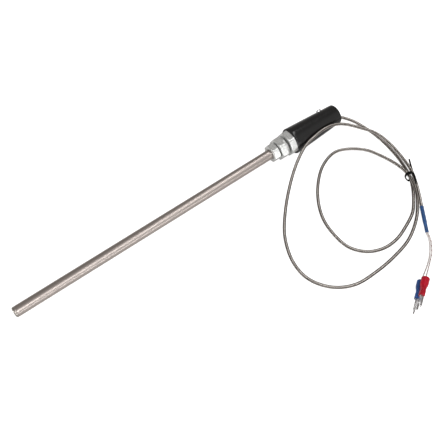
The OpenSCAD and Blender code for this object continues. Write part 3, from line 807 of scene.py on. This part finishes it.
cores = {}
for pole, (side, points, at, pitch, roll, yarn) in CORES.items():
    route = Route(core_route(side, points, at, pitch), step=0.1)
    core = finish_with(tube("lead_core_yarn_" + pole, route, yarn_radius, sides=16, step=0.13), yarn)
    place = terminal_matrix(at, pitch, roll)
    sleeve = finish_with(make_sleeve("terminal_boot_" + pole, place),
                         "sleeve_red" if pole == "positive" else "sleeve_blue")
    fork = finish_with(make_fork("terminal_fork_" + pole, place), "tin")
    exit_at = from_mouth(SHRINK_TO + side * CORE_SHIFT * SHRINK_SIDE) * MM
    cores[pole] = (core, route, sleeve, fork, exit_at)

BUNDLE = Vector((4.5, 8, -0.5)).normalized()
tie_route = Route([from_mouth(p) for p in TIE_POINTS], step=0.1, side=BUNDLE, start=0.62)


def tie_radius(s):
    edge = min(s, tie_route.length - s)
    return TIE_R * math.sqrt(max(0.05, min(1, edge / 0.3)))


def tie_section(s, a):
    """A flat strip with the wire as a ridge along its middle, drawn in at both ends."""
    wide = 1.5 + 1.4 * np.clip((s - 14) / 4, 0, 1) * np.clip((tie_route.length - 6 - s) / 3, 0, 1)
    return 1 / np.sqrt((np.cos(a) / wide) ** 2 + np.sin(a) ** 2)


tie = tube("twist_tie_wire", tie_route, tie_radius, sides=20, step=0.15, squash=tie_section)
finish_with(tie, "tie")

# ---------------------------------------------------------------- cords, attached in place of the CAD pieces

for piece in (painted_shade_liner, braid_right, braid_left, shrink, tie):
    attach(piece, PROBE)
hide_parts("lead_braid")
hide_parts("heat_shrink")
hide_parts("twist_tie")
for pole, (core, route, sleeve, fork, exit_at) in cores.items():
    for piece in (core, sleeve, fork):
        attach(piece, PROBE)
    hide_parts("lead_core_" + pole)
    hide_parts("terminal_sleeve_" + pole)
    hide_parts("fork_terminal_" + pole)

# ---------------------------------------------------------------- the probe


def hexagon_rows(a, b):
    """Stations that follow the chamfers of a hexagon from a to b."""
    near = [0.0, 0.03, 0.07, 0.12, 0.18, 0.24, 0.3, 0.36, 0.42, 0.48, 0.54, 0.62, 0.75]
    return [a + d for d in near] + span(a + 1.2, b - 1.2, 3) + [b - d for d in reversed(near)]


def hexagon_radius(u, a, b, flats, angle):
    """A hexagon whose corners are turned off by a cone at both ends."""
    corner = flats / 2 / math.cos(math.pi / 6) + 0.05
    from_end = min(u - a, b - u)
    cone = flats / 2 - 0.1 + (corner - flats / 2 + 0.1) * from_end / 0.55
    edge = 0.07 * max(0.0, 1 - from_end / 0.07) ** 2
    return soft_min(hex_radius(flats, angle), cone, 0.14) - edge


def threads(a, b, crest, root, pitch=0.75):
    """The rows of a threaded stretch, with small flats at crest and root."""
    rows, turns = [], max(1, int((b - a) / pitch))
    step = (b - a) / turns
    for k in range(turns):
        u = a + k * step
        rows += [(u, root), (u + 0.12 * step, root), (u + 0.42 * step, crest), (u + 0.62 * step, crest)]
    return rows + [(b, root)]


def hex_piece(name, rows, hexagons):
    """Turns rows of (station, radius); a radius below zero stands for hexagon number -radius."""
    def radius(u, r, angle):
        if r >= 0:
            return r
        a, b, flats = hexagons[int(-r) - 1]
        return hexagon_radius(u, a, b, flats, angle)
    return revolve(name, rows, hex_angles(), radius, smooth_angle=28)


tip_rows = ([(0, 0), (0, SHEATH_R - TIP_ROUND)] + arc(TIP_ROUND, SHEATH_R - TIP_ROUND, TIP_ROUND, -90, 0, 10)
            + [(1.38, SHEATH_R), (1.47, SHEATH_R - 0.035), (1.5, SHEATH_R - 0.06)]
            + [(1.5, 2.48), (3.0, 2.48), (3.0, 0)])
tip_cap = revolve("sheath_tip", tip_rows, 128, closed=False)
sheath_rows = [(1.5, 2.5), (1.5, SHEATH_R - 0.06), (1.53, SHEATH_R - 0.035), (1.62, SHEATH_R), (3, SHEATH_R)]
sheath_rows += [(u, SHEATH_R) for u in span(12, 156, 12)]
sheath_rows += [(SEAT_U - 0.1, SHEATH_R), (SEAT_U, SHEATH_R - 0.08), (SEAT_U, SEAT_R)]
sheath_rows += [(SHEATH_END - 0.1, SEAT_R), (SHEATH_END, SEAT_R - 0.1), (SHEATH_END, 2.5)]
sheath = revolve("sheath_body", sheath_rows, 128)

NUT_AF, BODY_AF, LOCK_AF = 10.0, 12.3, 13.5
STUB_R, SHANK_R, NECK_R = 3.95, 4.0, 6.0
nut_rows = [(u, -1) for u in hexagon_rows(NUT_U, NUT_U + NUT_L)]
nut_rows += [(NUT_U + NUT_L, STUB_R + 0.2), (NUT_U + NUT_L - 0.15, STUB_R + RUN_GAP),
             (NUT_U + 0.9, STUB_R + RUN_GAP), (NUT_U + 0.9, SHEATH_R + RUN_GAP),
             (NUT_U + 0.12, SHEATH_R + RUN_GAP), (NUT_U, SHEATH_R + 0.17)]
nut = hex_piece("compression_hexagon", nut_rows, [(NUT_U, NUT_U + NUT_L, NUT_AF)])

FERRULE_U = NUT_U + 0.9 + 0.7 + 2 * RUN_GAP
BORE = SEAT_R + FIT_GAP
body_rows = [(BODY_U - 3, 3.7)] + threads(BODY_U - 2.9, BODY_U, STUB_R, STUB_R - 0.35)
body_rows += [(u, -1) for u in hexagon_rows(BODY_U, NECK_U)]
body_rows += [(NECK_U, NECK_R), (SHANK_U - 0.15, NECK_R), (SHANK_U - 0.04, NECK_R - 0.04)]
body_rows += [(SHANK_U, NECK_R - 0.15)]
body_rows += threads(SHANK_U, HANDLE_U + 10.2, SHANK_R, SHANK_R - 0.35)
FERRULE_END, SOCKET_R = FERRULE_U + 1.6, SHEATH_R + 0.14
body_rows += [(HANDLE_U + 10.5, SHANK_R - 0.45), (HANDLE_U + 10.5, BORE), (FERRULE_END, BORE),
              (FERRULE_END, SOCKET_R), (BODY_U - 3, SOCKET_R + 0.48 * (FERRULE_END - BODY_U + 3) / 1.6)]
fitting = hex_piece("fitting_hexagon", body_rows, [(BODY_U, NECK_U, BODY_AF)])

lock_end = HANDLE_U - RUN_GAP
lock_rows = [(u, -1) for u in hexagon_rows(LOCK_U, lock_end)]
lock_rows += [(lock_end, SHANK_R + 0.2), (lock_end - 0.15, SHANK_R + RUN_GAP),
              (LOCK_U + 0.15, SHANK_R + RUN_GAP), (LOCK_U, SHANK_R + 0.2)]
lock = hex_piece("lock_hexagon", lock_rows, [(LOCK_U, lock_end, LOCK_AF)])

# The handle, with its stepped hollow and the hole of the clamp screw.
RIM = 0.4


def handle_surface(u):
    return HANDLE_R - (HANDLE_R - REAR_R) * (u - RIM) / (HANDLE_L - 2 * RIM)


handle_rows = arc(RIM, HANDLE_R - RIM, RIM, -90, 0, 6)
handle_rows += [(u, handle_surface(u)) for u in span(2.5, HANDLE_L - 2.5, 12)]
handle_rows += arc(HANDLE_L - RIM, REAR_R - RIM, RIM, 0, 90, 6)
handle_rows += [(HANDLE_L, 5.2), (HANDLE_L - 0.06, 5.06), (HANDLE_L - 0.2, 5.0), (HANDLE_L - 6, 5.0),
                (HANDLE_L - 6, 3.32), (HANDLE_L - 7.5, 3.32), (HANDLE_L - 7.5, 2.15), (18, 2.15), (18, 4.6),
                (11.55, 4.6), (11.55, 5.02), (0.55, 5.02), (0.55, 6.35), (0.12, 6.35), (0, 6.47)]
handle = revolve("handle_grip", [(HANDLE_U + u, r) for u, r in handle_rows], 128)

SCREW_AT = HANDLE_L - 9.0
SCREW_SEAT = HANDLE_R - (HANDLE_R - REAR_R) / HANDLE_L * SCREW_AT - 0.3
ACROSS = (ON_PROBE @ Matrix.Translation((0, 0, (HANDLE_U + SCREW_AT) * MM))
          @ Matrix.Rotation(math.radians(180 - 52), 4, "Z") @ Matrix.Rotation(math.pi / 2, 4, "Y"))
hole_rows = [(1.0, 0), (1.0, 1.05), (SCREW_SEAT, 1.05), (SCREW_SEAT, 1.6), (9, 1.6), (9, 0)]
screw_hole = revolve("screw_hole", hole_rows, 48, matrix=ACROSS, closed=False)
cut(handle, screw_hole)
head = SCREW_SEAT + 0.05
top = SCREW_SEAT + 1.2
screw_rows = [(3.0, 0), (3.0, 0.85), (3.12, 1.0), (head, 1.0), (head, 1.42), (head + 0.08, 1.5)]
screw_rows += [(top - 0.42, 1.5)]
screw_rows += [(top - 0.42 + 0.42 * math.sin(a), 1.5 * (0.38 + 0.62 * math.cos(a)))
               for a in span(0.2, math.pi / 2, 9)]
screw_rows += [(top, 0)]
screw = revolve("clamp_screw_slotted", screw_rows, 64, matrix=ACROSS, closed=False, smooth_angle=40)
slot_box = bmesh.new()
bmesh.ops.create_cube(slot_box, size=1, matrix=Matrix.Translation((0, 0, (top - 0.55 + 1) * MM))
                      @ Matrix.Diagonal((6 * MM, 0.45 * MM, 2 * MM, 1)))
slot_box.transform(ACROSS)
slot_mesh = bpy.data.meshes.new("slot")
slot_box.to_mesh(slot_mesh)
slot_box.free()
slot_obj = bpy.data.objects.new("slot", slot_mesh)
scene.collection.objects.link(slot_obj)
cut(screw, slot_obj, 40)

PIECES = (
    (tip_cap, "probe", "sheath_tip_cap", "stainless", "tip"),
    (sheath, "probe", "sheath_tube", "stainless", "sheath"),
    (nut, "compression_nut_body", "compression_nut", "plated_nut", "zinc"),
    (fitting, "probe", "fitting_body", "plated_nut", "zinc"),
    (lock, "lock_nut_body", "lock_nut", "plated_nut", "zinc"),
    (handle, "probe", "handle_sleeve", "handle_black", "handle"),
    (screw, "clamp_screw_body", "clamp_screw", "screw_steel", "screw"),
)
for piece, body, node, slot, key in PIECES:
    finish_with(piece, key)
    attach(piece, body)
    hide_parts(node)

# The bare threads between the hexagons are duller than the faces. Their darker colour is painted shade in the
# grooves between the hexagons.
fitting.data.materials.append(MATERIAL["zinc_dark"])
for face in fitting.data.polygons:
    offset = face.center / MM - TIP
    along = offset.dot(AXIS)
    if (offset - AXIS * along).length < STUB_R + 0.2:
        face.material_index = 1

# The CAD pieces that keep their own shape.
NODE_LOOKS = {
    "lock_washer": "washer", "back_ferrule": "brass", "front_ferrule": "brass", "handle_bushing": "brass",
    "clamp_pad": "brass", "braid_crimp": "screw", "lead_grommet": "rubber", "sheath_seal": "potting",
    "measuring_junction": "bead", "element_wire_positive": "wire_a", "element_wire_negative": "wire_b",
    "splice_crimp_positive": "tin", "splice_crimp_negative": "tin",
    "splice_sleeve_positive": "splice_red", "splice_sleeve_negative": "splice_blue",
    "inner_core_positive": "ceramic", "inner_core_negative": "ceramic",
}
NODE_LOOKS.update({"insulator_bead_%d" % i: "ceramic" for i in range(1, 7)})
for node, key in NODE_LOOKS.items():
    finish_with(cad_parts[node], key)

# ---------------------------------------------------------------- floor and light

FLOOR_HALF = 1.6
FLOOR_DROP = 0.0002
FLOOR_GLOW = 0.9
LIT_POINT = Vector((0, -0.03, 0.005))

floor_bm = bmesh.new()
bmesh.ops.create_grid(floor_bm, x_segments=8, y_segments=8, size=FLOOR_HALF)
floor_mesh = bpy.data.meshes.new("floor")
floor_bm.to_mesh(floor_mesh)
floor_bm.free()
floor = bpy.data.objects.new("floor", floor_mesh)
floor.location.z = -FLOOR_DROP
scene.collection.objects.link(floor)
floor_look = Look("floor", (0.8, 0.8, 0.8), 0.9)
ray = floor_look.node("LightPath")
floor_look.set("Emission Color", (1, 1, 1, 1))
glow = floor_look.math("MULTIPLY", ray.outputs["Is Camera Ray"], FLOOR_GLOW)
floor_look.link(glow, floor_look.shader.inputs["Emission Strength"])
floor.data.materials.append(floor_look.mat)


def area_light(name, direction, distance, width, height, power):
    """A rectangular soft box that looks at the middle of the object."""
    data = bpy.data.lights.new(name, "AREA")
    data.shape = "RECTANGLE"
    data.size, data.size_y = width, height
    data.energy = power
    light = bpy.data.objects.new(name, data)
    direction = Vector(direction).normalized()
    light.location = LIT_POINT + direction * distance
    light.rotation_mode = "QUATERNION"
    light.rotation_quaternion = (-direction).to_track_quat("-Z", "Y")
    scene.collection.objects.link(light)


# Name, direction from the object, distance, width, height and power, in metres and watts:
# the line along the sheath, the band low on the handle, the tip's side, the hexagons' faces.
for row in (
    ("strip", (0.262, -0.135, 0.954), 1.1, 1.7, 0.11, 3.0),
    ("front_low", (-0.1, -1.0, 0.14), 1.2, 1.6, 0.07, 2.6),
    ("side", (-0.95, 0.15, 0.35), 1.2, 0.4, 0.4, 3.0),
    ("facets", (-0.35, -0.55, 0.76), 1.2, 0.3, 0.3, 2.2),
):
    area_light(*row)

world = bpy.data.worlds.new("studio")
world.use_nodes = True
scene.world = world
tree = world.node_tree
sky = next(n for n in tree.nodes if n.type == "BACKGROUND")
where = tree.nodes.new("ShaderNodeTexCoord")
parts = tree.nodes.new("ShaderNodeSeparateXYZ")
ramp = tree.nodes.new("ShaderNodeValToRGB")
shift = tree.nodes.new("ShaderNodeMapRange")
shift.inputs["From Min"].default_value = -1
tree.links.new(where.outputs["Generated"], parts.inputs["Vector"])
tree.links.new(parts.outputs["Y"], shift.inputs["Value"])
tree.links.new(shift.outputs["Result"], ramp.inputs["Fac"])
tree.links.new(ramp.outputs["Color"], sky.inputs["Color"])
ramp.color_ramp.elements[0].position = 0.3
ramp.color_ramp.elements[0].color = (0.5, 0.49, 0.48, 1)
ramp.color_ramp.elements[1].position = 0.5
ramp.color_ramp.elements[1].color = (0.25, 0.24, 0.23, 1)
sky.inputs["Strength"].default_value = 1.0

scene.view_settings.view_transform = "Standard"
scene.view_settings.look = "None"
scene.view_settings.exposure = 0.0
